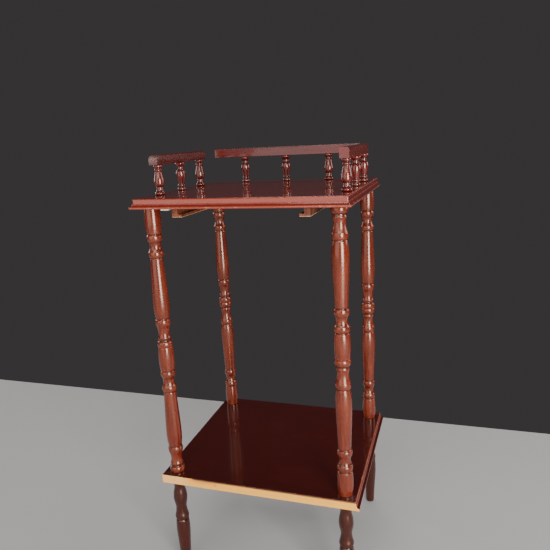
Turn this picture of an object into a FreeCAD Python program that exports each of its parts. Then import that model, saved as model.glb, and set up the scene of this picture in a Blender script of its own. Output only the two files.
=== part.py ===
"""Two-tier turned stand: a moulded top with a low spindle gallery, carried on four
sectional turned posts above a lower board and four short turned legs.

Millimetres, +Z up, X to the right, Y to the back. The origin is on the floor,
under the middle of the whole outline. Every piece of wood and every group of like screws
is its own file in parts/.
"""
import FreeCAD, Part
import math
import os

os.makedirs("parts", exist_ok=True)
Vector = FreeCAD.Vector
UP = Vector(0, 0, 1)

# ---- driving dimensions -------------------------------------------------------
flat_width = 350.0        # flat part of the lower board, side to side
top_flat_width = 346.5    # flat part of the top, cut back at its right side
flat_depth = 315.0        # flat part of either board, front to back
board_thickness = 16.0
leg_length = 184.0
section_length = 238.5    # one turned post section; two make a post
post_x = 154.0            # post centres from the middle
post_y = 136.0
spindle_length = 50.0     # gallery spindle between the shoulders of its tenons
rail_height = 16.0
rail_width = 15.0
side_rail_x = 158.0       # centre line of the side rails
side_rail_y = -14.0       # middle of the side rails
side_rail_length = 194.0
side_spindles = {"left": (-14.0, 81.0), "right": (-10.0, 84.0)}   # middle one, pitch
back_rail_x = -3.5        # the back rail sits a little left of the middle
back_rail_y = 135.5
back_rail_length = 293.0
back_spindle_pitch = 85.0
rail_nose = 6.0           # rounding of the left rail's upper front corner
rail_rounding = 1.6       # rounding of a rail's long upper edges
left_rail_rounding = 6.0  # of the left rail's outer upper edge
right_rail_rounding = 3.2  # of the right rail's outer upper edge
runner_outer_x = 113.0    # outer face of a drawer runner
runner_width = 17.0
runner_height = 15.0
runner_lip = 7.5          # how far the lip stands in from the web
runner_lip_thickness = 4.5
runner_front_y = -146.0
runner_length = 280.0
stud_radius = 3.0         # double-ended screws in the posts
stud_grip = 22.0          # how far a stud enters a turned end
stud_in_top = 9.0         # how far a stud enters the underside of the top
tenon_radius = 3.0
tenon_length = 8.0
screw_radius = 1.6        # runner screws
screw_head_radius = 3.4
screw_length = 20.0
clearance = 0.05          # between a screw or tenon and its hole
hole_spare = 1.5          # empty depth past the end of a screw or tenon
slip_size = (13.0, 11.0, 1.8)
slip_corner = (-124.0, -161.0)   # front left corner of the slip under the top

shelf_z = leg_length + board_thickness
under_top_z = shelf_z + 2 * section_length
top_z = under_top_z + board_thickness
rail_z = top_z + spindle_length


def save(shape, node):
    shape.exportStep(f"parts/{node}.step")


# ---- boards -------------------------------------------------------------------
arris = 2.0               # rounding where a side meets the top
band_depth = 8.2          # foot of the upright band under the arris
cove_start = 0.8          # ledge under the band
cove_middle = (1.7, 10.8)  # a point on the hollow of the cove
cove_end = 3.9
bead_depth = 12.2         # where the cove ends and the bead begins
bead_root = 4.2
mould_reach = 5.2         # how far the bead stands out past the flat
easing = 0.6              # of a sawn side's lower arris


def moulded_edge(edge, outward):
    """Section edges down a moulded side that starts at the given flat edge."""
    def at(out, down):
        return Vector(edge + outward * out, 0, -down)

    middle = (bead_depth + board_thickness) / 2
    return [
        Part.Arc(at(-arris, 0), at(-0.3 * arris, 0.3 * arris), at(0, arris)).toShape(),
        Part.LineSegment(at(0, arris), at(0, band_depth)).toShape(),
        Part.LineSegment(at(0, band_depth), at(cove_start, band_depth)).toShape(),
        Part.Arc(at(cove_start, band_depth), at(*cove_middle), at(cove_end, bead_depth)).toShape(),
        Part.LineSegment(at(cove_end, bead_depth), at(bead_root, bead_depth)).toShape(),
        Part.Arc(at(bead_root, bead_depth), at(mould_reach, middle),
                 at(bead_root, board_thickness)).toShape(),
    ], at(-arris, 0), at(bead_root, board_thickness)


def plain_edge(edge, outward):
    """Section edges down a sawn side: the old rounding on top, the lower arris eased."""
    def at(out, down):
        return Vector(edge + outward * out, 0, -down)

    foot = board_thickness
    return [
        Part.Arc(at(-arris, 0), at(-0.3 * arris, 0.3 * arris), at(0, arris)).toShape(),
        Part.LineSegment(at(0, arris), at(0, foot - easing)).toShape(),
        Part.Arc(at(0, foot - easing), at(-0.3 * easing, foot - 0.3 * easing),
                 at(-easing, foot)).toShape(),
    ], at(-arris, 0), at(-easing, foot)


def board_prism(flat, low_edge, high_edge, length):
    """A board section with a chosen edge at each side, run along Y."""
    low, low_top, low_bottom = low_edge(-flat / 2, -1)
    high, high_top, high_bottom = high_edge(flat / 2, 1)
    top = Part.LineSegment(low_top, high_top).toShape()
    bottom = Part.LineSegment(low_bottom, high_bottom).toShape()
    wire = Part.Wire(Part.__sortEdges__(low + [top] + high + [bottom]))
    prism = Part.Face(wire).extrude(Vector(0, length, 0))
    prism.translate(Vector(0, -length / 2, 0))
    return prism


def board(width, left, right, front, back):
    """Two prisms crossed, so that moulded edges meet in mitres; top face at z = 0."""
    across = board_prism(width, left, right, flat_depth + 4 * mould_reach)
    along = board_prism(flat_depth, front, back, width + 4 * mould_reach)
    along.rotate(Vector(0, 0, 0), UP, 90)
    return across.common(along)


def drill(x, y, z, radius, depth, up):
    """A round cutter that starts at z and runs up or down."""
    return Part.makeCylinder(radius, depth, Vector(x, y, z), UP * (1 if up else -1))


corners = {
    "front_left": (-post_x, -post_y),
    "front_right": (post_x, -post_y),
    "rear_left": (-post_x, post_y),
    "rear_right": (post_x, post_y),
}

# ---- gallery layout -------------------------------------------------------------
# name: (x, y, True when the belly is low)
spindles = {}
for side, sign, bellies in (("left", -1, (True, False, True)), ("right", 1, (True, False, False))):
    middle_y, pitch = side_spindles[side]
    for place, step, low in zip(("front", "middle", "rear"), (-1, 0, 1), bellies):
        y = middle_y + step * pitch
        spindles[f"spindle_{side}_{place}"] = (sign * side_rail_x, y, low)
for place, step, low in (("left", -1, False), ("middle", 0, False), ("right", 1, True)):
    spindles[f"spindle_back_{place}"] = (back_rail_x + step * back_spindle_pitch, back_rail_y, low)

screw_places = []
for side in (-1, 1):
    x = side * (runner_outer_x - (runner_width - runner_lip) / 2)
    for share in (0.08, 0.5, 0.92):
        screw_places.append((x, runner_front_y + share * runner_length))


# ---- turned work ----------------------------------------------------------------
def turned(outline):
    """Revolve an outline of ("line", r, z), ("arc", r, z, r, z) and ("curve", (r, z), ...) steps."""
    first = outline[0]
    here = Vector(first[1], 0, first[2])
    base = Vector(0, 0, first[2])
    edges = [Part.LineSegment(base, here).toShape()]
    for step in outline[1:]:
        if step[0] == "line":
            there = Vector(step[1], 0, step[2])
            edges.append(Part.LineSegment(here, there).toShape())
        elif step[0] == "arc":
            there = Vector(step[3], 0, step[4])
            edges.append(Part.Arc(here, Vector(step[1], 0, step[2]), there).toShape())
        else:
            points = [here] + [Vector(r, 0, z) for r, z in step[1:]]
            there = points[-1]
            spline = Part.BSplineCurve()
            spline.interpolate(points)
            edges.append(spline.toShape())
        here = there
    crown = Vector(0, 0, here.z)
    edges.append(Part.LineSegment(here, crown).toShape())
    edges.append(Part.LineSegment(crown, base).toShape())
    return Part.Face(Part.Wire(edges)).revolve(Vector(0, 0, 0), UP, 360)


def post_section():
    """Barrel end at z = 0, ring end at section_length."""
    end = section_length
    return turned([
        ("line", 12.2, 0),
        ("arc", 13.6, 21.1, 12.4, 42.2),               # barrel
        ("line", 11.2, 42.8), ("line", 11.2, 44.2), ("line", 12.2, 44.8),
        ("arc", 13.0, 49.7, 12.0, 54.6),           # ring
        ("line", 11.5, 54.8),
        ("arc", 9.6, 63.3, 11.7, 71.7),              # hollow neck
        ("line", 12.1, 72.1),
        ("arc", 12.8, 76.9, 11.8, 81.7),           # collar
        ("line", 10.4, 82.5), ("line", 10.4, 84), ("line", 10.9, 84.6),
        ("curve", (11.6, 104.4), (12.9, 134.6), (13.7, 161.7), (13.1, 176.7), (11.7, 186.8)),   # vase
        ("line", 11.1, 187.4), ("line", 11.1, 188.8), ("line", 12.2, 189.4),
        ("arc", 13.0, 194.8, 12.1, 200.2),           # ring
        ("line", 11.8, 200.6),
        ("curve", (10.4, 205.9), (9.6, 212.9), (10.1, 217.9), (10.7, 220.1)),   # long neck
        ("arc", 11.3, 222.1, 10.8, 224.1),         # thin bead
        ("line", 10.5, 224.9), ("line", 10.5, 227.2), ("line", 12.2, 228.2),
        ("arc", 13.5, 233.4, 12.4, end),           # end ring
    ])


def leg():
    """Foot at z = 0, shoulder under the board at leg_length."""
    top = leg_length
    return turned([
        ("line", 7.6, 0),
        ("line", 8.4, 1.4),
        ("curve", (10.2, 34), (12.2, 66), (12.7, 80), (12.3, 92), (11.6, 98.4)),   # long taper
        ("line", 10.3, 99.6), ("line", 10.3, 101.6), ("line", 12.0, 102.6),
        ("arc", 12.6, 106, 12.0, 110),             # collar
        ("curve", (10.7, 115), (9.8, 122), (10.0, 128), (11.4, 135), (12.6, 144),
         (11.8, 154), (9.9, 163), (9.3, 168)),     # neck and bulb
        ("curve", (9.9, 173), (11.4, 177.4)),
        ("line", 11.8, 178.2),
        ("arc", 12.4, 181.1, 11.8, top),
    ])


def spindle():
    """Belly low: foot shoulder at z = 0, rail shoulder at spindle_length, a tenon at each end."""
    end = spindle_length
    body = turned([
        ("line", 7.6, 0),
        ("arc", 9.0, 2.6, 8.0, 5.2),               # foot bead
        ("curve", (6.6, 6.6), (5.9, 9.0), (5.9, 12.0)),
        ("line", 5.6, 12.5), ("line", 5.6, 13.2), ("line", 6.4, 13.7),
        ("curve", (8.2, 16.6), (8.8, 21.5), (8.3, 27), (6.9, 33), (5.8, 38.2)),   # belly
        ("line", 5.7, 38.8), ("line", 6.4, 39.3),
        ("arc", 7.0, 41.1, 6.4, 42.8),             # ring
        ("line", 5.8, 43.2), ("line", 5.8, 44.2), ("line", 7.0, 45.0),
        ("arc", 7.7, 47.6, 7.0, end),              # head
    ])
    tenon = Part.makeCylinder(tenon_radius, end + 2 * tenon_length, Vector(0, 0, -tenon_length))
    return body.fuse(tenon).removeSplitter()


def flip(shape, length):
    """Turn a piece that stands from 0 to length upside down in its own place."""
    turned_over = shape.copy()
    turned_over.rotate(Vector(0, 0, length / 2), Vector(1, 0, 0), 180)
    return turned_over


def placed(shape, x, y, z):
    copy = shape.copy()
    copy.translate(Vector(x, y, z))
    return copy


# ---- top and lower board --------------------------------------------------------
top = board(top_flat_width, moulded_edge, moulded_edge, moulded_edge, moulded_edge)
top = placed(top, (top_flat_width - flat_width) / 2, 0, top_z)
for x, y in corners.values():
    top = top.cut(drill(x, y, under_top_z, stud_radius + clearance, stud_in_top + hole_spare, True))
for x, y, low in spindles.values():
    top = top.cut(drill(x, y, top_z, tenon_radius + clearance, tenon_length + hole_spare, False))
screw_bite = screw_length - runner_height
for x, y in screw_places:
    top = top.cut(drill(x, y, under_top_z, screw_radius + clearance, screw_bite + hole_spare, True))
save(top, "top_board")

# the lower board has lost its moulding at the front and left and is sawn square there
lower = placed(board(flat_width, plain_edge, moulded_edge, plain_edge, moulded_edge), 0, 0, shelf_z)
for x, y in corners.values():
    lower = lower.cut(drill(x, y, leg_length - 1, stud_radius + clearance, board_thickness + 2, True))
save(lower, "lower_board")

# ---- posts and legs -------------------------------------------------------------
# each end of a turned section is bored for a stud
bore = stud_grip + hole_spare
section = post_section()
section = section.cut(drill(0, 0, 0, stud_radius + clearance, bore, True))
section = section.cut(drill(0, 0, section_length, stud_radius + clearance, bore, False))
section_flipped = flip(section, section_length)

# True where the barrel end is up
barrel_up = {
    "front_left": (True, True),
    "front_right": (False, False),
    "rear_left": (True, False),
    "rear_right": (True, False),
}
for corner, (x, y) in corners.items():
    for level, up, z in zip(("upper", "lower"), barrel_up[corner], (shelf_z + section_length, shelf_z)):
        piece = section_flipped if up else section
        save(placed(piece, x, y, z), f"post_{corner}_{level}")

foot = leg().cut(drill(0, 0, leg_length, stud_radius + clearance, bore, False))
for corner, (x, y) in corners.items():
    save(placed(foot, x, y, 0), f"leg_{corner}")


# ---- studs ----------------------------------------------------------------------
def stud(low, high):
    """A double-ended screw from low to high, pointed at both ends."""
    point = 3.0
    tip = 0.8
    return turned([
        ("line", tip, low),
        ("line", stud_radius, low + point),
        ("line", stud_radius, high - point),
        ("line", tip, high),
    ])


middle_z = shelf_z + section_length
studs = {
    "studs_post_to_top": (under_top_z - stud_grip, under_top_z + stud_in_top),
    "studs_post_middle": (middle_z - stud_grip, middle_z + stud_grip),
    "studs_leg_to_post": (leg_length - stud_grip, shelf_z + stud_grip),
}
for node, (low, high) in studs.items():
    shape = stud(low, high)
    save(Part.makeCompound([placed(shape, x, y, 0) for x, y in corners.values()]), node)

# ---- gallery ----------------------------------------------------------------------
upright = spindle()
upside_down = flip(upright, spindle_length)
for node, (x, y, low) in spindles.items():
    save(placed(upright if low else upside_down, x, y, top_z), node)


def socketed(rail, prefix):
    """Bore a rail from below for its spindles."""
    for node, (x, y, low) in spindles.items():
        if node.startswith(prefix):
            depth = tenon_length + hole_spare
            rail = rail.cut(drill(x, y, rail_z, tenon_radius + clearance, depth, True))
    return rail


def rail_bar(length, low_rounding, high_rounding):
    """Square bar along Y from the origin, its two long upper edges rounded."""
    width, height = rail_width, rail_height
    bulge = 1 - math.sqrt(0.5)      # how far a quarter round stays off its corner, per radius
    def at(x, z):
        return Vector(x, 0, z)

    low, high = low_rounding, high_rounding
    edges = [
        Part.LineSegment(at(0, 0), at(width, 0)).toShape(),
        Part.LineSegment(at(width, 0), at(width, height - high)).toShape(),
        Part.Arc(at(width, height - high), at(width - bulge * high, height - bulge * high),
                 at(width - high, height)).toShape(),
        Part.LineSegment(at(width - high, height), at(low, height)).toShape(),
        Part.Arc(at(low, height), at(bulge * low, height - bulge * low), at(0, height - low)).toShape(),
        Part.LineSegment(at(0, height - low), at(0, 0)).toShape(),
    ]
    return Part.Face(Part.Wire(edges)).extrude(Vector(0, length, 0))


# roundings of the upper edges on the left and on the right of each side rail
side_roundings = {"left": (left_rail_rounding, rail_rounding), "right": (rail_rounding, right_rail_rounding)}
for side, sign in (("left", -1), ("right", 1)):
    front = side_rail_y - side_rail_length / 2
    low_x = sign * side_rail_x - rail_width / 2
    rail = placed(rail_bar(side_rail_length, *side_roundings[side]), low_x, front, rail_z)
    if side == "left":
        # the left rail's front end is rounded over at the top
        nose_z = rail_z + rail_height - rail_nose
        nose = Part.makeBox(rail_width + 2, rail_nose, rail_nose, Vector(low_x - 1, front, nose_z))
        axis_point = Vector(low_x - 1, front + rail_nose, nose_z)
        round_bar = Part.makeCylinder(rail_nose, rail_width + 2, axis_point, Vector(1, 0, 0))
        rail = rail.cut(nose.cut(round_bar))
    save(socketed(rail, f"spindle_{side}"), f"rail_{side}")

rail = rail_bar(back_rail_length, rail_rounding, rail_rounding)
rail.rotate(Vector(0, 0, 0), UP, -90)
rail = placed(rail, back_rail_x - back_rail_length / 2, back_rail_y + rail_width / 2, rail_z)
save(socketed(rail, "spindle_back"), "rail_back")


# ---- drawer runners -----------------------------------------------------------------
def runner(side):
    """A rebated batten: an upright web with a lip along its lower inner edge."""
    floor = under_top_z - runner_height
    outer = side * runner_outer_x
    web = outer - side * (runner_width - runner_lip)
    inner = outer - side * runner_width
    outline = [
        (outer, under_top_z), (web, under_top_z), (web, floor + runner_lip_thickness),
        (inner, floor + runner_lip_thickness), (inner, floor), (outer, floor), (outer, under_top_z),
    ]
    wire = Part.makePolygon([Vector(x, runner_front_y, z) for x, z in outline])
    return Part.Face(wire).extrude(Vector(0, runner_length, 0))


head_depth = screw_head_radius - screw_radius


def runner_screw(grow):
    """Countersunk screw, head down at z = 0; grow makes the hole that it sits in."""
    return turned([
        ("line", screw_head_radius + grow, 0),
        ("line", screw_radius + grow, head_depth),
        ("line", screw_radius + grow, screw_length - 2.5 * screw_radius),
        ("line", 0.4 + grow, screw_length),
    ])


floor = under_top_z - runner_height
for name, side in (("left", -1), ("right", 1)):
    batten = runner(side)
    for x, y in screw_places:
        if x * side > 0:
            batten = batten.cut(placed(runner_screw(clearance), x, y, floor))
    save(batten, f"drawer_runner_{name}")
save(Part.makeCompound([placed(runner_screw(0), x, y, floor) for x, y in screw_places]),
     "runner_screws")

# ---- packing slip -------------------------------------------------------------------
# a thin pale slip of wood pressed under the front edge, beside the front left post
slip = Part.makeBox(*slip_size, Vector(*slip_corner, under_top_z - slip_size[2]))
save(slip, "packing_slip")
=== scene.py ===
import math
import bmesh
import bpy
from mathutils import Matrix, Vector, noise


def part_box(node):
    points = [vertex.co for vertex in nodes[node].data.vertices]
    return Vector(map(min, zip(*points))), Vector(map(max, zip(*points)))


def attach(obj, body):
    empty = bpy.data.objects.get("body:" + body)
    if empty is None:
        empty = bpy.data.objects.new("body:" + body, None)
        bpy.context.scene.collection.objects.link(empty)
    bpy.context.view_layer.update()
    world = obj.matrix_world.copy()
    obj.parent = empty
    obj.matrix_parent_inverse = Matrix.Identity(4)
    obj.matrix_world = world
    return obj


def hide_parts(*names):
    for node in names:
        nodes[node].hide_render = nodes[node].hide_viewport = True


# sizes are in metres, except where a note says millimetres
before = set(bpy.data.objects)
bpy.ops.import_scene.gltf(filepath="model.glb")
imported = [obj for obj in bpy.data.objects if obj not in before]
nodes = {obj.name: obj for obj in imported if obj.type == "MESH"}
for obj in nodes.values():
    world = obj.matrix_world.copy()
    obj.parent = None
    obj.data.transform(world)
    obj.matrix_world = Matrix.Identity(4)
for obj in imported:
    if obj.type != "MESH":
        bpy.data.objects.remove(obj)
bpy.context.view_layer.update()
mm = 0.001
print("frame loaded,", len(nodes), "pieces")


# nodes and shader maths

class Wire:
    # one output socket; sums written on it add their Math nodes
    def __init__(self, bench, socket):
        self.bench = bench
        self.socket = socket

    def maths(self, operation, first, second):
        return self.bench.put("ShaderNodeMath", {"operation": operation}, {0: first, 1: second})

    def __add__(self, other):
        return self.maths("ADD", self, other)

    def __radd__(self, other):
        return self.maths("ADD", other, self)

    def __sub__(self, other):
        return self.maths("SUBTRACT", self, other)

    def __rsub__(self, other):
        return self.maths("SUBTRACT", other, self)

    def __mul__(self, other):
        return self.maths("MULTIPLY", self, other)

    def __rmul__(self, other):
        return self.maths("MULTIPLY", other, self)

    def __truediv__(self, other):
        return self.maths("DIVIDE", self, other)

    def __gt__(self, other):
        return self.maths("GREATER_THAN", self, other)

    def other(self, name):
        return Wire(self.bench, self.socket.node.outputs[name])


class Bench:
    # puts nodes into one tree
    def __init__(self, tree):
        self.tree = tree

    def put(self, kind, settings=None, values=None, out=0):
        node = self.tree.nodes.new(kind)
        for name, value in (settings or {}).items():
            setattr(node, name, value)
        for key, value in (values or {}).items():
            if isinstance(value, Wire):
                self.tree.links.new(value.socket, node.inputs[key])
            else:
                node.inputs[key].default_value = value
        return Wire(self, node.outputs[out]) if len(node.outputs) else node

    def blend(self, share, first, second):
        # a colour mix: 6 and 7 are the Mix node's colour sockets
        first, second = ((*c, 1) if isinstance(c, tuple) else c for c in (first, second))
        return self.put("ShaderNodeMix", {"data_type": "RGBA"}, {0: share, 6: first, 7: second}, 2)

    def step(self, value, low, high):
        # 0 below low, 1 above high, smooth between; low may be the greater
        return self.put("ShaderNodeMapRange", {"interpolation_type": "SMOOTHSTEP"},
                        {"Value": value, "From Min": low, "From Max": high})

    def noise(self, place, scale, detail=2.0, rough=0.5):
        return self.put("ShaderNodeTexNoise", None,
                        {"Vector": place, "Scale": scale, "Detail": detail, "Roughness": rough})

    def stretched(self, place, scale):
        return self.put("ShaderNodeMapping", None, {"Vector": place, "Scale": scale})

    def shifted(self, place, amount):
        return self.put("ShaderNodeVectorMath", {"operation": "ADD"}, {0: place, 1: amount})

    def distance(self, place, middle):
        return self.put("ShaderNodeVectorMath", {"operation": "DISTANCE"}, {0: place, 1: middle}, "Value")


def newMaterial(name):
    material = bpy.data.materials.new(name)
    material.use_nodes = True
    material.node_tree.nodes.clear()
    return material, Bench(material.node_tree)


def finishMaterial(bench, colour, roughness, height, relief, surface):
    # relief is how deep the surface's marks go; surface holds the coat, the IOR and so on
    normal = bench.put("ShaderNodeBump", None, {"Height": height, "Distance": relief, "Strength": 1.0})
    values = {"Base Color": colour, "Roughness": roughness, "Normal": normal, **surface}
    shader = bench.put("ShaderNodeBsdfPrincipled", None, values)
    bench.put("ShaderNodeOutputMaterial", None, {"Surface": shader})


# finishes

warmShine = {"Coat Roughness": 0.13, "Specular Tint": (1.0, 0.74, 0.54, 1), "Specular IOR Level": 0.8}
varnishCoat = {"Coat Weight": 0.55, "Coat Roughness": 0.06, "Coat IOR": 1.5, "IOR": 1.48}
varnishRelief = 0.05 * mm
chippedWood = (0.62, 0.42, 0.28)

turnedLooks = {
    "postVarnish": {"deep": (0.022, 0.0020, 0.0013), "mid": (0.104, 0.0088, 0.0042), "coat": 0.45,
                    "light": (0.24, 0.040, 0.0145), "gloss": 0.22, "pores": 0.5},
    "legVarnish": {"deep": (0.005, 0.0006, 0.0006), "mid": (0.026, 0.0015, 0.0015), "coat": 0.2,
                   "light": (0.060, 0.0056, 0.0046), "gloss": 0.24, "pores": 0.4},
    "spindleVarnish": {"deep": (0.020, 0.0016, 0.0018), "mid": (0.088, 0.0060, 0.0062), "coat": 0.6,
                       "light": (0.16, 0.019, 0.0155), "gloss": 0.18, "pores": 0.3},
}


def turnedFinish(name, look):
    material, bench = newMaterial(name)
    place = bench.put("ShaderNodeTexCoord", out="Object")
    seed = bench.put("ShaderNodeAttribute", {"attribute_name": "pieceSeed"}, out="Fac")
    relief = bench.put("ShaderNodeAttribute", {"attribute_name": "relief"}, out="Fac")
    shift = bench.put("ShaderNodeCombineXYZ", None, {0: seed * 0.37, 1: seed * 0.61, 2: seed * 0.23})
    place = bench.shifted(place, shift)
    along = bench.stretched(place, (1, 1, 0.045))      # the grain runs up the piece
    figure = bench.noise(along, 260, 3.0, 0.6)
    streaks = bench.noise(along, 900, 2.0, 0.5)
    pores = bench.step(bench.noise(along, 2600, 1.0, 0.4), 0.60, 0.72)
    cloud = bench.noise(place, 22, 2.0, 0.5)
    grain = bench.step(figure * 0.6 + streaks * 0.4, 0.33, 0.68)
    colour = bench.blend(grain * 0.8, look["mid"], look["light"])
    colour = bench.blend(bench.step(cloud, 0.35, 0.72) * 0.45, colour, look["mid"])
    colour = bench.blend(pores * look["pores"], colour, look["deep"])
    # stain gathers in the grooves and is rubbed thin on the crowns of the rings
    grooves = bench.step(relief, -0.08, -0.75)
    crowns = bench.step(relief + (streaks - 0.5) * 0.4, 0.30, 0.9)
    colour = bench.blend(grooves * 0.85, colour, look["deep"])
    colour = bench.blend(crowns * 0.30, colour, look["light"])
    # a few pale flecks where the finish is chipped
    cells = bench.put("ShaderNodeTexVoronoi", None, {"Vector": place, "Scale": 34.0}, "Distance")
    chance = bench.put("ShaderNodeSeparateColor", None, {0: cells.other("Color")}, "Red")
    flecks = bench.step(cells, 0.030, 0.018) * (chance > 0.90)
    colour = bench.blend(flecks, colour, chippedWood)
    smears = bench.noise(bench.stretched(place, (1, 1, 0.4)), 60, 3.0, 0.6)
    roughness = look["gloss"] + bench.step(smears, 0.45, 0.75) * 0.14 + flecks * 0.4
    peel = bench.noise(place, 210, 2.0, 0.5)
    height = peel * 0.3 - pores * 0.25 - flecks * 0.8 + streaks * 0.2
    finishMaterial(bench, colour, roughness, height, varnishRelief,
                   {**varnishCoat, **warmShine, "Coat Weight": look["coat"]})
    return material


boardLook = {"deep": (0.034, 0.0030, 0.0022), "mid": (0.155, 0.0105, 0.0062), "light": (0.24, 0.030, 0.017),
             "thin": (0.33, 0.058, 0.025), "rubAndGlint": (0.40, 0.17, 0.125), "haze": (0.24, 0.17, 0.14),
             "hazeShare": 0.5, "gloss": 0.17}
railLook = {**boardLook, "mid": (0.115, 0.0105, 0.0066), "light": (0.23, 0.034, 0.018), "gloss": 0.24}
# a darker copy of the rail stain for the left rail: painted shade on that rail
shadedNoseLook = {**railLook, "mid": (0.062, 0.0058, 0.0044), "light": (0.125, 0.018, 0.011)}
# a darker copy of the board stain for the lower board: painted shade where the top board shades it
shadedShelfLook = {**boardLook, "deep": (0.014, 0.0014, 0.0011), "mid": (0.047, 0.0036, 0.0025),
             "light": (0.082, 0.0088, 0.0052), "haze": (0.16, 0.12, 0.105), "hazeShare": 0.4}
pineLook = {"early": (0.97, 0.46, 0.060), "late": (0.70, 0.24, 0.026), "resin": (0.60, 0.235, 0.045),
            "pink": (0.95, 0.49, 0.20), "line": (0.085, 0.026, 0.013), "ringPitch": 3.4 * mm,
            "ringDrift": 9 * mm, "roughness": 0.62}


def boardStain(bench, place, look, grainScale):
    # colour, roughness and height of the varnished boards and rails
    along = bench.stretched(place, grainScale)
    figure = bench.noise(along, 190, 3.0, 0.6)
    streaks = bench.noise(along, 1100, 2.0, 0.5)
    cloud = bench.noise(place, 9, 2.0, 0.5)
    worn = bench.put("ShaderNodeAttribute", {"attribute_name": "worn"}, out="Fac")
    grain = bench.step(figure * 0.8 + streaks * 0.2, 0.34, 0.70)
    colour = bench.blend(grain * 0.55, look["mid"], look["light"])
    colour = bench.blend(bench.step(cloud, 0.3, 0.75) * 0.6, colour, look["mid"])
    colour = bench.blend(bench.step(streaks, 0.62, 0.78) * 0.2, colour, look["deep"])
    # the worn attribute also carries painted light: the right side's full stain is painted shade, and its
    # pale arris is partly a painted highlight
    colour = bench.blend(bench.step(worn, 0.1, 0.36) * 0.6, colour, look["thin"])
    rubAndGlintMask = bench.step(worn + (bench.noise(place, 240, 3.0, 0.6) - 0.5) * 1.0, 0.62, 1.15)
    colour = bench.blend(rubAndGlintMask * 0.8, colour, look["rubAndGlint"])
    smears = bench.noise(place, 18, 4.0, 0.62)
    wipes = bench.noise(bench.stretched(place, (0.25, 1, 1)), 130, 2.0, 0.5)
    dull = bench.step(smears, 0.50, 0.78) * 0.09 + bench.step(wipes, 0.55, 0.8) * 0.05
    roughness = look["gloss"] + dull + rubAndGlintMask * 0.2
    height = bench.noise(place, 120, 1.0, 0.4) * 0.22 + streaks * 0.07 - rubAndGlintMask * 0.4
    return colour, roughness, height


def scuffed(bench, place, colour, roughness, look, spots, level):
    # dull grey haze where something stood or rubbed; each spot is (x, y, reach, strength)
    haze = 0.0
    grit = bench.noise(place, 420, 4.0, 0.7)
    for x, y, reach, strength in spots:
        away = bench.distance(place, (x, y, level))
        haze = bench.step(away + (grit - 0.5) * reach, reach, 0.25 * reach) * strength + haze
    haze = haze * bench.step(grit, 0.42, 0.62)
    return bench.blend(haze * look["hazeShare"], colour, look["haze"]), roughness + haze * 0.35


def boardFinish(name, look, grainScale, spots=(), level=0.0):
    material, bench = newMaterial(name)
    place = bench.put("ShaderNodeTexCoord", out="Object")
    colour, roughness, height = boardStain(bench, place, look, grainScale)
    if spots:
        colour, roughness = scuffed(bench, place, colour, roughness, look, spots, level)
    finishMaterial(bench, colour, roughness, height, varnishRelief, varnishCoat)
    return material


def pineColour(bench, place, look):
    # long-grain pine: growth lines and fibre run with the board
    along = bench.stretched(place, (0.06, 1, 1))
    drift = bench.noise(along, 60, 2.0, 0.5)
    z = bench.put("ShaderNodeSeparateXYZ", None, {0: place}, "Z")
    rings = bench.put("ShaderNodeMath", {"operation": "SINE"},
                      {0: (z + drift * look["ringDrift"]) * (2 * math.pi / look["ringPitch"])})
    fibre = bench.noise(bench.stretched(place, (0.03, 1, 1)), 2200, 2.0, 0.6)
    colour = bench.blend(bench.step(rings, 0.15, 1.0) * 0.30, look["early"], look["late"])
    colour = bench.blend(bench.step(fibre, 0.45, 0.75) * 0.28, colour, look["late"])
    return colour, fibre, rings


def lowerBoardFinish(name, look, pine, sawn):
    # varnish on the show faces, in a darker copy of the board stain that paints the shade under the top
    # board, and raw wood where the moulding was sawn away
    material, bench = newMaterial(name)
    place = bench.put("ShaderNodeTexCoord", out="Object")
    colour, roughness, height = boardStain(bench, place, look, sawn["grain"])
    colour, roughness = scuffed(bench, place, colour, roughness, look, sawn["spots"], sawn["top"])
    x = bench.put("ShaderNodeSeparateXYZ", None, {0: place}, "X")
    y = x.other("Y")
    z = x.other("Z")
    ragged = (bench.noise(place, 420, 3.0, 0.6) - 0.5) * 1.6 * mm
    front = bench.step(y + ragged, sawn["front"] + 0.9 * mm, sawn["front"] + 0.5 * mm)
    left = bench.step(x + ragged, sawn["left"] + 0.9 * mm, sawn["left"] + 0.5 * mm)
    bare = bench.put("ShaderNodeMath", {"operation": "MAXIMUM"}, {0: front, 1: left})
    wood, fibre, rings = pineColour(bench, place, pine)
    # a long resin streak and a small knot in the front
    squeeze = 0.16
    resin = bench.distance(bench.stretched(place, (squeeze, 1, 1)),
                           (sawn["streak"] * squeeze, sawn["front"], sawn["top"] - sawn["streakDown"]))
    warm = bench.step(resin + (fibre - 0.5) * 3 * mm, 7 * mm, 1 * mm)
    wood = bench.blend(warm * 0.75, wood, pine["resin"])
    knot = bench.distance(place, (sawn["knot"], sawn["front"], sawn["top"] - sawn["knotDown"]))
    wood = bench.blend(bench.step(knot + (fibre - 0.5) * 2 * mm, 4.6 * mm, 1.0 * mm) * 0.7,
                       wood, pine["late"])
    blush = bench.step(x, sawn["lineFrom"], sawn["lineFrom"] - 25 * mm)
    wood = bench.blend(blush * 0.6, wood, pine["pink"])
    # old stain runs down over the upper arris, but not at the left end
    runDown = bench.step(z + ragged * 0.4, sawn["top"] - 2.7 * mm, sawn["top"] - 2.1 * mm)
    runDown = runDown * bench.step(x + ragged * 3, sawn["lineFrom"] - 3 * mm, sawn["lineFrom"] + 3 * mm)
    wood = bench.blend(runDown * 0.9, wood, pine["line"])
    varnished = 1 - bare
    colour = bench.blend(bare, colour, wood)
    roughness = roughness * varnished + bare * pine["roughness"]
    height = height * varnished + bare * (fibre * 1.6 + rings * 0.3)
    coat = {**varnishCoat, "Coat Weight": varnished * varnishCoat["Coat Weight"]}
    finishMaterial(bench, colour, roughness, height, varnishRelief, coat)
    return material


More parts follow.
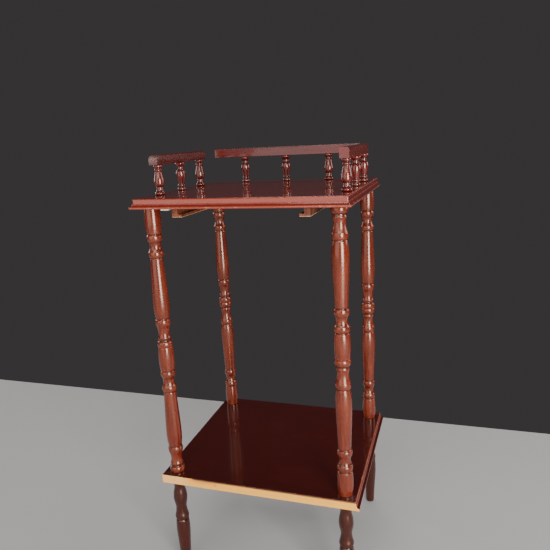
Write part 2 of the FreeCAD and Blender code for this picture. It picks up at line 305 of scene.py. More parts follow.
battenLook = {"stain": (0.060, 0.013, 0.006), "thin": (0.21, 0.058, 0.019), "edgeHighlight": (0.60, 0.38, 0.18),
              "relief": 0.08 * mm, "low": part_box("drawer_runner_left")[0].z}


def battenFinish(name, look):
    # rough pine batten, stained in passing, with a pale painted highlight along its lower edge
    material, bench = newMaterial(name)
    place = bench.put("ShaderNodeTexCoord", out="Object")
    along = bench.stretched(place, (1, 0.05, 1))
    grain = bench.noise(along, 500, 3.0, 0.6)
    fibre = bench.noise(along, 2400, 2.0, 0.6)
    patchy = bench.noise(place, 45, 3.0, 0.6)
    colour = bench.blend(bench.step(patchy, 0.35, 0.7), look["stain"], look["thin"])
    colour = bench.blend(bench.step(fibre, 0.5, 0.8) * 0.5, colour, look["stain"])
    z = bench.put("ShaderNodeSeparateXYZ", None, {0: place}, "Z")
    # painted highlight: a pale band along the lower edge, where the lip catches the light
    edge = bench.step(z + (grain - 0.5) * 3 * mm, look["low"] + 1.4 * mm, look["low"] - 0.2 * mm)
    colour = bench.blend(edge * 0.85, colour, look["edgeHighlight"])
    roughness = 0.5 + fibre * 0.25
    finishMaterial(bench, colour, roughness, fibre * 1.2 + grain * 0.6, look["relief"], {"IOR": 1.45})
    return material


slipLook = {"pale": (0.78, 0.66, 0.47), "line": (0.62, 0.47, 0.28), "relief": 0.05 * mm}


def slipFinish(name, look):
    material, bench = newMaterial(name)
    place = bench.put("ShaderNodeTexCoord", out="Object")
    grain = bench.noise(bench.stretched(place, (0.08, 1, 1)), 1500, 2.0, 0.6)
    colour = bench.blend(bench.step(grain, 0.4, 0.75), look["pale"], look["line"])
    finishMaterial(bench, colour, 0.6 + grain * 0.2, grain, look["relief"], {"IOR": 1.45})
    return material


steelLook = {"bright": (0.62, 0.57, 0.47), "dull": (0.26, 0.22, 0.18), "relief": 0.02 * mm}


def steelFinish(name, look):
    # zinc-plated steel with a yellowed, handled surface
    material, bench = newMaterial(name)
    place = bench.put("ShaderNodeTexCoord", out="Object")
    tarnish = bench.noise(place, 900, 4.0, 0.65)
    rings = bench.noise(bench.stretched(place, (0.3, 0.3, 1)), 3500, 1.0, 0.5)
    colour = bench.blend(bench.step(tarnish, 0.38, 0.7), look["bright"], look["dull"])
    roughness = 0.28 + bench.step(tarnish, 0.4, 0.7) * 0.3
    finishMaterial(bench, colour, roughness, rings, look["relief"], {"Metallic": 1.0})
    return material


grainAcross = (0.05, 1, 1)      # grain that runs from left to right
grainBack = (1, 0.05, 1)        # grain that runs from front to back
shelfLow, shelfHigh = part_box("lower_board")
sawnSides = {
    "grain": grainAcross, "front": shelfLow.y, "left": shelfLow.x, "top": shelfHigh.z,
    "streak": -0.095, "streakDown": 3 * mm, "knot": -0.072, "knotDown": 7 * mm, "lineFrom": -0.115,
    "spots": ((0.166, -0.149, 0.016, 0.9), (0.168, 0.152, 0.016, 0.8), (-0.168, -0.150, 0.010, 0.5)),
}
railLow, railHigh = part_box("rail_left")
railNose = {"width": 15 * mm, "inset": 1 * mm, "down": 6 * mm, "reach": 11 * mm, "strength": 1.5}
noseSpots = [(railLow.x + share * railNose["width"], railLow.y + railNose["inset"],
              railNose["reach"], railNose["strength"]) for share in (0.2, 0.8)]

finishes = {name: turnedFinish(name, look) for name, look in turnedLooks.items()}
finishes["boardVarnish"] = boardFinish("boardVarnish", boardLook, grainAcross)
finishes["railVarnish"] = boardFinish("railVarnish", railLook, grainBack)
finishes["backRailVarnish"] = boardFinish("backRailVarnish", railLook, grainAcross)
# the left rail gets the darker stain, which is painted shade, and a dull haze on its nose
finishes["shadedNoseVarnish"] = boardFinish("shadedNoseVarnish", shadedNoseLook, grainBack, noseSpots,
                                      railHigh.z - railNose["down"])
finishes["shadedLowerBoard"] = lowerBoardFinish("shadedLowerBoard", shadedShelfLook, pineLook, sawnSides)
finishes["battenWood"] = battenFinish("battenWood", battenLook)
finishes["slipWood"] = slipFinish("slipWood", slipLook)
finishes["screwSteel"] = steelFinish("screwSteel", steelLook)
print("finishes made:", len(finishes))


# outlines

def traced(steps, spacing):
    # points along straight runs, arcs and curves; steps as ("line", a, b), ("arc", a, b, a, b)
    # and ("curve", (a, b), ...), each from where the last one ended
    points = [Vector(steps[0][1:3])]

    def run(target):
        start = points[-1]
        count = max(1, math.ceil((target - start).length / spacing))
        for i in range(1, count + 1):
            points.append(start.lerp(target, i / count))

    for step in steps[1:]:
        if step[0] == "line":
            run(Vector(step[1:3]))
        elif step[0] == "arc":
            start, through, end = points[-1], Vector(step[1:3]), Vector(step[3:5])
            count = max(4, math.ceil((end - start).length * 1.1 / spacing))
            control = through * 2 - (start + end) / 2
            for i in range(1, count + 1):
                t = i / count
                points.append(start * (1 - t) ** 2 + control * 2 * t * (1 - t) + end * t * t)
        else:
            marks = [points[-1]] + [Vector(p) for p in step[1:]]
            marks = [marks[0] * 2 - marks[1]] + marks + [marks[-1] * 2 - marks[-2]]
            for a, b, c, d in zip(marks, marks[1:], marks[2:], marks[3:]):
                count = max(2, math.ceil((c - b).length / spacing))
                for i in range(1, count + 1):
                    t = i / count
                    points.append(0.5 * (2 * b + (c - a) * t + (2 * a - 5 * b + 4 * c - d) * t * t
                                         + (3 * b - a - 3 * c + d) * t ** 3))
    return points


def eased(points, passes):
    # rounds the corners a little and leaves the two ends where they are
    for _ in range(passes):
        middle = [(a + 2 * b + c) / 4 for a, b, c in zip(points, points[1:], points[2:])]
        points = [points[0]] + middle + [points[-1]]
    return points


def thinned(points, slack, longest):
    # drops points that lie on the line between their neighbours
    kept = [points[0]]
    last = 0
    for i in range(2, len(points)):
        start, end = points[last], points[i]
        reach = end - start
        side = Vector((-reach.y, reach.x)).normalized() if reach.length > 0 else Vector((0, 0))
        bend = max(abs((p - start).dot(side)) for p in points[last + 1:i])
        if bend > slack or reach.length > longest:
            kept.append(points[i - 1])
            last = i - 1
    return kept + [points[-1]]


# turned pieces: outlines in millimetres, radius then height

turnedShapes = {
    "post": {"length": 238.5, "boreRadius": 3.05, "boreDepth": 23.5, "outline": [
        ("line", 12.2, 0), ("arc", 13.6, 21.1, 12.4, 42.2),
        ("line", 11.2, 42.8), ("line", 11.2, 44.2), ("line", 12.2, 44.8), ("arc", 13.0, 49.7, 12.0, 54.6),
        ("line", 11.5, 54.8), ("arc", 9.6, 63.3, 11.7, 71.7), ("line", 12.1, 72.1),
        ("arc", 12.8, 76.9, 11.8, 81.7), ("line", 10.4, 82.5), ("line", 10.4, 84), ("line", 10.9, 84.6),
        ("curve", (11.6, 104.4), (12.9, 134.6), (13.7, 161.7), (13.1, 176.7), (11.7, 186.8)),
        ("line", 11.1, 187.4), ("line", 11.1, 188.8), ("line", 12.2, 189.4),
        ("arc", 13.0, 194.8, 12.1, 200.2), ("line", 11.8, 200.6),
        ("curve", (10.4, 205.9), (9.6, 212.9), (10.1, 217.9), (10.7, 220.1)),
        ("arc", 11.3, 222.1, 10.8, 224.1), ("line", 10.5, 224.9), ("line", 10.5, 227.2),
        ("line", 12.2, 228.2), ("arc", 13.5, 233.4, 12.4, 238.5)]},
    "leg": {"length": 184.0, "boreRadius": 3.05, "boreDepth": 23.5, "outline": [
        ("line", 7.6, 0), ("line", 8.4, 1.4),
        ("curve", (10.2, 34), (12.2, 66), (12.7, 80), (12.3, 92), (11.6, 98.4)),
        ("line", 10.3, 99.6), ("line", 10.3, 101.6), ("line", 12.0, 102.6), ("arc", 12.6, 106, 12.0, 110),
        ("curve", (10.7, 115), (9.8, 122), (10.0, 128), (11.4, 135), (12.6, 144), (11.8, 154),
         (9.9, 163), (9.3, 168)),
        ("curve", (9.9, 173), (11.4, 177.4)), ("line", 11.8, 178.2), ("arc", 12.4, 181.1, 11.8, 184)]},
    "spindle": {"length": 50.0, "tenonRadius": 3.0, "tenonLength": 8.0, "outline": [
        ("line", 7.6, 0), ("arc", 9.0, 2.6, 8.0, 5.2), ("curve", (6.6, 6.6), (5.9, 9.0), (5.9, 12.0)),
        ("line", 5.6, 12.5), ("line", 5.6, 13.2), ("line", 6.4, 13.7),
        ("curve", (8.2, 16.6), (8.8, 21.5), (8.3, 27), (6.9, 33), (5.8, 38.2)),
        ("line", 5.7, 38.8), ("line", 6.4, 39.3), ("arc", 7.0, 41.1, 6.4, 42.8),
        ("line", 5.8, 43.2), ("line", 5.8, 44.2), ("line", 7.0, 45.0), ("arc", 7.7, 47.6, 7.0, 50)]},
}
# spacing to bodyFrom are measured on the outlines, so in millimetres; bodyFrom is the least radius
# that counts as the body and not as a tenon or a bore
turnedWear = {"spacing": 0.45, "slack": 0.006, "longestStep": 2.4, "reliefReach": 4.0, "reliefSpan": 1.2,
              "bodyFrom": 4.0, "rounding": 3, "segments": 72,
              "outOfRound": 0.10 * mm, "toolMarks": 0.035 * mm, "dents": 0.22 * mm}


def endFace(shape, atTop):
    # the steps that close an end: a tenon that stands out of it or a bore that goes in
    end = shape["length"] if atTop else 0.0
    edge = shape["outline"][-1][-2:] if atTop else shape["outline"][0][1:]
    if "tenonLength" in shape:
        radius, inner = shape["tenonRadius"], end + (1 if atTop else -1) * shape["tenonLength"]
    else:
        radius, inner = shape["boreRadius"], end - (1 if atTop else -1) * shape["boreDepth"]
    steps = [("line", 0.0, inner), ("line", radius, inner), ("line", radius, end), ("line", *edge)]
    return steps[::-1][1:] if atTop else steps


def turnedOutline(name, shape, wear):
    # a chain of points in the XZ plane with the relief of each one: below 0 in a groove, above 0 on a ring
    plainFoot = name == "leg"
    start = [("line", 0.0, 0.0), shape["outline"][0]] if plainFoot else endFace(shape, False)
    steps = start + shape["outline"][1:] + endFace(shape, True)
    points = traced(steps, wear["spacing"])
    points = thinned(eased(points, wear["rounding"]), wear["slack"], wear["longestStep"])
    mesh = bpy.data.meshes.new(name + "Outline")
    mesh.from_pydata([(p.x * mm, 0, p.y * mm) for p in points],
                     [(i, i + 1) for i in range(len(points) - 1)], [])
    relief = mesh.attributes.new("relief", "FLOAT", "POINT")
    for value, here in zip(relief.data, points):
        near = [p.x for p in points
                if abs(p.y - here.y) < wear["reliefReach"] and p.x > wear["bodyFrom"]]
        level = sum(near) / len(near) if near else here.x
        value.value = max(-1.0, min(1.0, (here.x - level) / wear["reliefSpan"]))
    return mesh


def addInputs(tree, wanted):
    # named inputs for a tree; returns the identifier of each one
    made = {}
    for name, kind, default in wanted:
        socket = tree.interface.new_socket(name, in_out="INPUT", socket_type=kind)
        if default is not None:
            socket.default_value = default
        made[name] = socket.identifier
    tree.interface.new_socket("Geometry", in_out="OUTPUT", socket_type="NodeSocketGeometry")
    return made


def turnedTree(wear):
    # sweeps the outline once round, adds what a lathe and years of use leave, and stands it in place
    tree = bpy.data.node_groups.new("turnedWork", "GeometryNodeTree")
    keys = addInputs(tree, [
        ("Geometry", "NodeSocketGeometry", None), ("Segments", "NodeSocketInt", wear["segments"]),
        ("Place", "NodeSocketVector", None), ("Length", "NodeSocketFloat", 0.2),
        ("Turned Over", "NodeSocketBool", False), ("Turn", "NodeSocketFloat", 0.0),
        ("Seed", "NodeSocketInt", 1), ("Out Of Round", "NodeSocketFloat", 0.0),
        ("Tool Marks", "NodeSocketFloat", 0.0), ("Dents", "NodeSocketFloat", 0.0),
        ("Finish", "NodeSocketMaterial", None)])
    bench = Bench(tree)
    given = bench.put("NodeGroupInput")
    outline = given.other("Geometry")
    rings = bench.put("GeometryNodeAttributeDomainSize", None, {"Geometry": outline}, "Point Count")
    grid = bench.put("GeometryNodeMeshGrid", None,
                     {"Vertices X": given.other("Segments") + 1, "Vertices Y": rings})
    index = bench.put("GeometryNodeInputIndex")
    column = bench.put("ShaderNodeMath", {"operation": "FLOOR"}, {0: index / rings})
    row = index - column * rings
    position = bench.put("GeometryNodeInputPosition")
    here = bench.put("GeometryNodeSampleIndex", {"data_type": "FLOAT_VECTOR"},
                     {"Geometry": outline, "Value": position, "Index": row})
    reliefHere = bench.put("GeometryNodeInputNamedAttribute", {"data_type": "FLOAT"}, {"Name": "relief"})
    relief = bench.put("GeometryNodeSampleIndex", {"data_type": "FLOAT"},
                       {"Geometry": outline, "Value": reliefHere, "Index": row})
    radius = bench.put("ShaderNodeSeparateXYZ", None, {0: here}, "X")
    height = radius.other("Z")
    angle = column / given.other("Segments") * (2 * math.pi)
    # the last column lies exactly on the first, so the noise is read from the direction, not the angle
    whole = bench.put("ShaderNodeMath", {"operation": "MODULO"}, {0: column, 1: given.other("Segments")})
    around = whole / given.other("Segments") * (2 * math.pi)
    across = bench.put("ShaderNodeMath", {"operation": "COSINE"}, {0: around})
    deep = bench.put("ShaderNodeMath", {"operation": "SINE"}, {0: around})
    seed = given.other("Seed") * 3.7
    spot = bench.put("ShaderNodeCombineXYZ", None,
                     {0: across * 0.012 + seed, 1: deep * 0.012 + seed * 0.3, 2: height})
    bend = bench.put("ShaderNodeTexNoise", None, {"Vector": spot, "Scale": 28.0, "Detail": 1.0}) - 0.5
    marks = bench.put("ShaderNodeTexNoise", {"noise_dimensions": "1D"},
                      {"W": height + seed, "Scale": 900.0, "Detail": 1.0}) - 0.5
    knocks = bench.step(bench.put("ShaderNodeTexNoise", None,
                                  {"Vector": spot, "Scale": 95.0, "Detail": 0.5}), 0.70, 0.82)
    # tenons and bores stay true
    body = bench.step(radius, wear["bodyFrom"] * mm, (wear["bodyFrom"] + 1.0) * mm)
    change = (bend * given.other("Out Of Round") * 2 + marks * given.other("Tool Marks") * 2
              - knocks * given.other("Dents")) * body
    worked = radius + change
    sign = 1 - given.other("Turned Over") * 2          # turned over about X, so y changes too
    lift = given.other("Turned Over") * given.other("Length")
    there = bench.put("ShaderNodeCombineXYZ", None,
                      {0: across * worked, 1: deep * worked * sign, 2: height * sign + lift})
    spun = bench.put("ShaderNodeVectorRotate", {"rotation_type": "Z_AXIS"},
                     {"Vector": there, "Angle": given.other("Turn")})
    placed = bench.shifted(spun, given.other("Place"))
    shape = bench.put("GeometryNodeSetPosition", None, {"Geometry": grid, "Position": placed})
    shape = bench.put("GeometryNodeStoreNamedAttribute", {"data_type": "FLOAT", "domain": "POINT"},
                      {"Geometry": shape, "Name": "relief", "Value": relief * body})
    shape = bench.put("GeometryNodeStoreNamedAttribute", {"data_type": "FLOAT", "domain": "POINT"},
                      {"Geometry": shape, "Name": "pieceSeed", "Value": given.other("Seed") * 1.0})
    shape = bench.put("GeometryNodeMergeByDistance", None, {"Geometry": shape, "Distance": 0.001 * mm})
    shape = bench.put("GeometryNodeSetShadeSmooth", None, {"Geometry": shape})
    shape = bench.put("GeometryNodeRealizeInstances", None, {"Geometry": shape})
    shape = bench.put("GeometryNodeSetMaterial", None,
                      {"Geometry": shape, "Material": given.other("Finish")})
    bench.put("NodeGroupOutput", None, {"Geometry": shape})
    return tree, keys


def addObject(name, mesh):
    thing = bpy.data.objects.new(name, mesh)
    bpy.context.scene.collection.objects.link(thing)
    return thing


def baked(name, source, material):
    # turns the evaluated object into a plain mesh piece and removes the working object
    depsgraph = bpy.context.evaluated_depsgraph_get()
    mesh = bpy.data.meshes.new_from_object(source.evaluated_get(depsgraph))
    mesh.name = name
    bpy.data.objects.remove(source)
    mesh.materials.clear()
    mesh.materials.append(material)
    return addObject(name, mesh)


def grown(name, base, tree, keys, values, material):
    # one piece from a base mesh and a geometry tree
    working = addObject(name + "Working", base)
    modifier = working.modifiers.new("work", "NODES")
    modifier.node_group = tree
    for key, value in values.items():
        modifier[keys[key]] = value
    return baked(name, working, material)


def handOver(piece, slot, *replaced):
    # hands a finished piece to the frame; nothing on the stand moves, so all ride the root
    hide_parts(*replaced)
    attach(piece, "root")


# pieces that stand the other way up than their outline
turnedOver = {
    "post_front_left_upper", "post_front_left_lower", "post_rear_left_upper", "post_rear_right_upper",
    "spindle_left_middle", "spindle_back_left", "spindle_back_middle", "spindle_right_middle",
    "spindle_right_rear",
}
turnedKinds = {     # each kind's finish and slot
    "post": ("postVarnish", "post_varnish"),
    "leg": ("legVarnish", "leg_varnish"),
    "spindle": ("spindleVarnish", "gallery_varnish"),
}


def makeTurnedPieces(wear):
    tree, keys = turnedTree(wear)
    outlines = {name: turnedOutline(name, shape, wear) for name, shape in turnedShapes.items()}
    names = [n for n in sorted(nodes) if n.split("_")[0] in turnedKinds]
    for seed, name in enumerate(names, 1):
        kind = name.split("_")[0]
        finish, slot = turnedKinds[kind]
        low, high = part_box(name)
        tenon = turnedShapes[kind].get("tenonLength", 0.0) * mm
        middle = (low + high) / 2
        values = {
            "Segments": wear["segments"], "Place": (middle.x, middle.y, low.z + tenon),
            "Length": turnedShapes[kind]["length"] * mm, "Turned Over": name in turnedOver,
            "Turn": seed * 2.4, "Seed": seed, "Out Of Round": wear["outOfRound"],
            "Tool Marks": wear["toolMarks"], "Dents": wear["dents"], "Finish": finishes[finish],
        }
        piece = grown(name + "_turned", outlines[kind], tree, keys, values, finishes[finish])
        handOver(piece, slot, name)
    return len(names)


print("turned pieces:", makeTurnedPieces(turnedWear))


# boards

# the side of a board in millimetres: out is how far a point stands past the flat top, down is its depth
boardShape = {
    "step": 2.0, "spacing": 0.42, "reach": 5.2, "arris": 2.0, "easing": 0.6, "thickness": 16.0,
    "sharpDepths": ((0.9, 1.6), (8.2, 0.8)),    # depth and spread of the arris and of the band's foot
    "crown": 0.4,               # spread of the bead's crown
    "arrisFoot": 1.6,           # depth at which the arris ends
    "hollow": (1.7, 0.85),      # how far out the cove's middle is, and half its spread
    "moulding": [
        ("line", -2.0, 0), ("arc", -0.6, 0.6, 0, 2.0), ("line", 0, 8.2), ("line", 0.8, 8.2),
        ("arc", 1.7, 10.8, 3.9, 12.2), ("line", 4.2, 12.2), ("arc", 5.2, 14.1, 4.2, 16)],
}
# depths of wear in millimetres, and the shares of the stain that each side has lost; these also paint
# light: the right side keeps its full stain as painted shade, and its arris gets a pale line that is partly
# wear and partly a painted highlight
boardWear = {
    "wave": 0.05, "nick": 0.55, "chip": 0.9, "saw": 0.14,
    "topEdge": 1.0, "sink": 0.5,    # worn points above this depth also drop by this share
    "cornerSteps": 4,               # steps over which the wear fades out towards a corner
    "thin": {"front": 0.38, "left": 0.3, "back": 0.3, "right": 0.0},
    "arrisRubAndGlint": {"front": 0.35, "left": 0.35, "back": 0.35, "right": 0.95},
}


def plainOut(down, shape):
    # how far a sawn side stands out at a depth: flush, but for its two rounded arrises
    upper = down < shape["thickness"] / 2
    radius = shape["arris"] if upper else shape["easing"]
    near = down if upper else shape["thickness"] - down
    return -radius + math.sqrt(max(0.0, radius ** 2 - (radius - near) ** 2)) if near < radius else 0.0


def sharpness(out, down, shape):
    # 1 on the arris, on the foot of the band and on the crown of the bead, 0 away from them
    edges = [1 - abs(down - depth) / spread for depth, spread in shape["sharpDepths"]]
    return max(0.0, *edges, 1 - abs(out - shape["reach"]) / shape["crown"])


def wornBy(x, y, down, sharp, moulded, wear):
    # how far a point of the side has been worn in
    worn = wear["wave"] * (noise.noise(Vector((x, y, down)) * 0.02) + 0.6)
    knock = noise.noise(Vector((x, y, down)) * 0.11 + Vector((7.1, 3.3, 0)))
    if moulded:
        worn += wear["nick"] * sharp * max(0.0, knock - 0.28) * 2.2
    else:
        worn += wear["saw"] * (0.5 + noise.noise(Vector((x * 0.9, y * 0.9, down * 0.12))))
        worn += wear["chip"] * sharp * max(0.0, knock - 0.12) * 1.6
    return max(0.0, worn)


def sideRing(model, wearAndLightLayer, point, onRim, flat, top, mouldedSides, shape, wear):
    # one ring of points round the board, at one point of its side's section
    out, down = point
    (flatLeft, flatFront), (flatRight, flatBack) = flat
    outs = {side: out if moulded else plainOut(down, shape) for side, moulded in mouldedSides.items()}
    left, front = flatLeft - outs["left"], flatFront - outs["front"]
    right, back = flatRight + outs["right"], flatBack + outs["back"]
    across = round((flatRight - flatLeft) / shape["step"])
    along = round((flatBack - flatFront) / shape["step"])
    walk = [("front", across, (left, front), (right, front), (0, 1)),
            ("right", along, (right, front), (right, back), (-1, 0)),
            ("back", across, (right, back), (left, back), (0, -1)),
            ("left", along, (left, back), (left, front), (1, 0))]
    sharp = sharpness(out, down, shape)
    hollowMiddle, hollowHalf = shape["hollow"]
    stained = down <= shape["arrisFoot"] or abs(out - hollowMiddle) <= hollowHalf
    ring = []
    for side, count, start, end, inward in walk:
        # stain is thin on band and bead, but not on the right side, which keeps its full stain as painted
        # shade; the right arris is pale partly from wear and partly as a painted highlight; the rims of the
        # flat faces stay unworn
        marked = mouldedSides[side] and not onRim
        thin = 0.0 if stained else wear["thin"][side]
        rubAndGlint = wear["arrisRubAndGlint"][side] * sharp
        for i in range(count):
            x = start[0] + (end[0] - start[0]) * i / count
            y = start[1] + (end[1] - start[1]) * i / count
            cornerFade = min(1.0, i / wear["cornerSteps"], (count - i) / wear["cornerSteps"])
            into = cornerFade * wornBy(x, y, down, sharp, mouldedSides[side], wear)
            sunk = wear["sink"] * into * (down < wear["topEdge"]) * sharp
            vert = model.verts.new(((x + inward[0] * into) * mm, (y + inward[1] * into) * mm,
                                    top * mm - down * mm - sunk * mm))
            vert[wearAndLightLayer] = min(1.0, thin + rubAndGlint + into * 1.3) * marked
            ring.append(vert)
    return ring


def addBore(model, x, y, radius, depth, fromTop, levels, faceEdges):
    # a round hole from one face, or right through when its depth is 0
    count = 24
    mouth = levels[1] if fromTop else levels[0]
    far = (levels[0] if fromTop else levels[1]) if depth == 0 else mouth + (-depth if fromTop else depth)
    circles = []
    for z in (mouth, far):
        circles.append([model.verts.new((x + radius * math.cos(2 * math.pi * i / count),
                                         y + radius * math.sin(2 * math.pi * i / count), z))
                        for i in range(count)])
    for i in range(count):
        j = (i + 1) % count
        model.faces.new((circles[0][i], circles[0][j], circles[1][j], circles[1][i])).smooth = True
        faceEdges[fromTop].append(model.edges.get((circles[0][i], circles[0][j])))
        if depth == 0:
            faceEdges[not fromTop].append(model.edges.get((circles[1][i], circles[1][j])))
    if depth:
        model.faces.new(circles[1])


def boardPiece(name, node, mouldedSides, finish, shape, wear, bores):
    # bores: (x, y, radius, depth, from the top or not), a depth of 0 goes right through
    low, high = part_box(node)
    low, high = low / mm, high / mm
    reach = shape["reach"]
    flat = ((low.x + reach * mouldedSides["left"], low.y + reach * mouldedSides["front"]),
            (high.x - reach * mouldedSides["right"], high.y - reach * mouldedSides["back"]))
    section = eased(traced(shape["moulding"], shape["spacing"]), 1)
    mesh = bpy.data.meshes.new(name)
    model = bmesh.new()
    wearAndLightLayer = model.verts.layers.float.new("worn")
    rings = [sideRing(model, wearAndLightLayer, point, point in (section[0], section[-1]), flat, high.z,
                      mouldedSides, shape, wear) for point in section]
    size = len(rings[0])
    for upper, lower in zip(rings, rings[1:]):
        for i in range(size):
            j = (i + 1) % size
            model.faces.new((upper[i], lower[i], lower[j], upper[j])).smooth = True
    faceEdges = {True: [], False: []}       # the edges that bound the upper and the lower face
    for top, ring in ((True, rings[0]), (False, rings[-1])):
        for i in range(size):
            edge = model.edges.get((ring[i], ring[(i + 1) % size]))
            edge.smooth = False
            faceEdges[top].append(edge)
    for bore in bores:
        addBore(model, *bore, (low.z * mm, high.z * mm), faceEdges)
    for top, edges in faceEdges.items():
        bmesh.ops.triangle_fill(model, use_beauty=True, edges=edges, normal=(0, 0, 1 if top else -1))
    bmesh.ops.remove_doubles(model, verts=model.verts, dist=0.002 * mm)
    bmesh.ops.dissolve_degenerate(model, edges=model.edges, dist=0.002 * mm)
    bmesh.ops.recalc_face_normals(model, faces=model.faces)
    model.to_mesh(mesh)
    model.free()
    mesh.materials.append(finishes[finish])
    handOver(addObject(name, mesh), "board_varnish", node)


# radius and depth of each kind of bore
boreSizes = {"stud": (3.05 * mm, 10.5 * mm), "tenon": (3.05 * mm, 9.5 * mm),
             "screw": (1.65 * mm, 6.5 * mm), "through": (3.05 * mm, 0)}
screwHead = 3.4 * mm


def boresAt(prefix, size, fromTop):
    # one bore in line with each piece whose name starts with prefix
    found = []
    for name in sorted(nodes):
        if name.startswith(prefix):
            low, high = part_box(name)
            found.append(((low.x + high.x) / 2, (low.y + high.y) / 2, *size, fromTop))
    return found


def screwBores():
    # three screws along the web of each runner
    low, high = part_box("runner_screws")
    first, span = low.y + screwHead, high.y - low.y - 2 * screwHead
    return [(x, first + share * span, *boreSizes["screw"], False)
            for x in (low.x + screwHead, high.x - screwHead) for share in (0.0, 0.5, 1.0)]


allMoulded = {"left": True, "right": True, "front": True, "back": True}
sawnLeftAndFront = {**allMoulded, "left": False, "front": False}
topBores = boresAt("spindle_", boreSizes["tenon"], True) + boresAt("leg_", boreSizes["stud"], False)
boardPiece("topBoard", "top_board", allMoulded, "boardVarnish", boardShape, boardWear,
           topBores + screwBores())
boardPiece("lowerBoardSawn", "lower_board", sawnLeftAndFront, "shadedLowerBoard", boardShape, boardWear,
           boresAt("leg_", boreSizes["through"], True))
print("boards made")


# rails, runners and the slip keep their shape and get eased edges

# each node's piece, easing in millimetres, finish and slot
easedNodes = {
    "rail_left": ("railLeft", 0.6, "shadedNoseVarnish", "gallery_varnish"),
    "rail_right": ("railRight", 0.6, "railVarnish", "gallery_varnish"),
    "rail_back": ("railBack", 0.6, "backRailVarnish", "gallery_varnish"),
    "drawer_runner_left": ("runnerLeft", 0.35, "battenWood", "runner_wood"),
    "drawer_runner_right": ("runnerRight", 0.35, "battenWood", "runner_wood"),
    "packing_slip": ("packingSlip", 0.25, "slipWood", "bare_pine"),
}


easedEdges = {"flatWithin": 0.5, "sharpOver": 40, "segments": 3}     # the first two in degrees


def easedPiece(node, name, easing, finish, slot):
    mesh = nodes[node].data.copy()
    model = bmesh.new()
    model.from_mesh(mesh)
    bmesh.ops.remove_doubles(model, verts=model.verts, dist=0.001 * mm)
    bmesh.ops.dissolve_limit(model, angle_limit=math.radians(easedEdges["flatWithin"]),
                             verts=model.verts, edges=model.edges)
    for face in model.faces:
        face.smooth = True
    model.to_mesh(mesh)
    model.free()
    working = addObject(name + "Working", mesh)
    bevel = working.modifiers.new("ease", "BEVEL")
    bevel.width = easing * mm
    bevel.segments = easedEdges["segments"]
    bevel.limit_method = "ANGLE"
    bevel.angle_limit = math.radians(easedEdges["sharpOver"])
    working.modifiers.new("evenNormals", "WEIGHTED_NORMAL").keep_sharp = True
    handOver(baked(name, working, finishes[finish]), slot, node)


for node, values in easedNodes.items():
    easedPiece(node, *values)
print("rails, runners and slip eased")

# the hidden studs and screws keep their shape
for node in nodes:
    if node.startswith("stud") or node == "runner_screws":
        nodes[node].data.materials.clear()
        nodes[node].data.materials.append(finishes["screwSteel"])


# floor, light and camera

studioFloor = {"reach": 6.0, "back": 0.51, "colour": (0.46, 0.45, 0.44, 1), "roughness": 0.85}
studioAir = {"colour": (1.0, 0.9, 0.96, 1), "strength": 0.043}


def addFloor(floor):
    # the floor ends a little way behind the stand
    reach, back = floor["reach"], floor["back"]
    mesh = bpy.data.meshes.new("studioFloor")
    mesh.from_pydata([(-reach, -reach, 0), (reach, -reach, 0), (reach, back, 0), (-reach, back, 0)],
                     [], [(0, 1, 2, 3)])
    material, bench = newMaterial("floorPaper")
    shader = bench.put("ShaderNodeBsdfPrincipled", None,
                       {"Base Color": floor["colour"], "Roughness": floor["roughness"]})
    bench.put("ShaderNodeOutputMaterial", None, {"Surface": shader})
    mesh.materials.append(material)
    addObject("studioFloor", mesh)


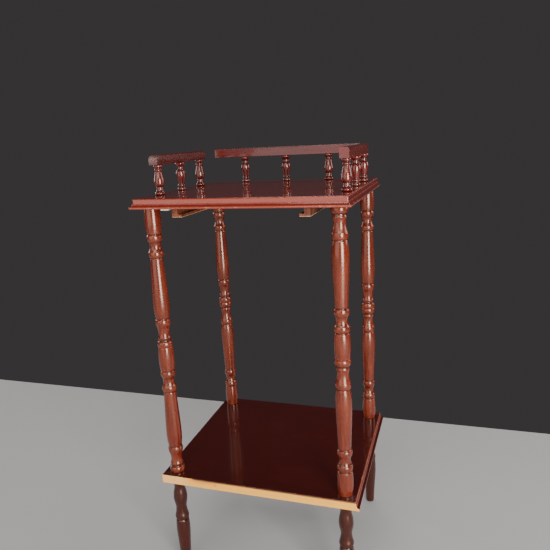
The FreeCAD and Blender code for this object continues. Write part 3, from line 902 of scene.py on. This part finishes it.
panels = {
    "windowPanel": {"azimuth": -24, "height": 0.85, "distance": 2.3, "size": (2.3, 1.5), "watts": 17},
    "keyPanel": {"azimuth": 40, "height": 0.62, "distance": 2.2, "size": (0.8, 1.2), "watts": 62},
    "highPanel": {"azimuth": 10, "height": 2.3, "distance": 2.5, "size": (2.4, 1.2), "watts": 40},
    "rightPanel": {"azimuth": 113, "height": 1.30, "distance": 2.6, "size": (1.4, 1.4), "watts": 22},
    "leftPanel": {"azimuth": -102, "height": 1.30, "distance": 2.6, "size": (1.4, 1.4), "watts": 17},
    "rearTopPanel": {"azimuth": 180, "height": 3.2, "distance": 1.4, "size": (2.2, 1.0), "watts": 34},
}
panelAim = Vector((0, 0, 0.45))


def addPanel(name, panel):
    # azimuth 0 is straight in front, and 90 is to the right
    light = bpy.data.lights.new(name, "AREA")
    light.shape = "RECTANGLE"
    light.size, light.size_y = panel["size"]
    light.energy = panel["watts"]
    lamp = addObject(name, light)
    turn = math.radians(panel["azimuth"])
    place = Vector((math.sin(turn), -math.cos(turn), 0)) * panel["distance"]
    place.z = panel["height"]
    lamp.location = place
    lamp.rotation_euler = (panelAim - place).to_track_quat("-Z", "Y").to_euler()
    lamp.visible_camera = False


def addWorld(air):
    world = bpy.data.worlds.new("studio")
    world.use_nodes = True
    world.node_tree.nodes.clear()
    bench = Bench(world.node_tree)
    glow = bench.put("ShaderNodeBackground", None, {"Color": air["colour"], "Strength": air["strength"]})
    bench.put("ShaderNodeOutputWorld", None, {"Surface": glow})
    bpy.context.scene.world = world


# where the viewer stands, in metres, and how the view is turned, in degrees
view = {"place": (0.3158, -0.9529, 0.7791), "turn": 18.0, "dip": 13.71, "roll": -2.89, "lens": 37.16}


def addCamera(view):
    camera = bpy.data.cameras.new("standCamera")
    camera.lens = view["lens"]
    holder = addObject("standCamera", camera)
    turn = Matrix.Rotation(math.radians(view["turn"]), 4, "Z")
    dip = Matrix.Rotation(math.radians(90 - view["dip"]), 4, "X")
    roll = Matrix.Rotation(math.radians(view["roll"]), 4, "Z")
    holder.matrix_world = Matrix.Translation(view["place"]) @ turn @ dip @ roll
    bpy.context.scene.camera = holder


addFloor(studioFloor)
for name, panel in panels.items():
    addPanel(name, panel)
addWorld(studioAir)
addCamera(view)
print("floor, light and camera set")
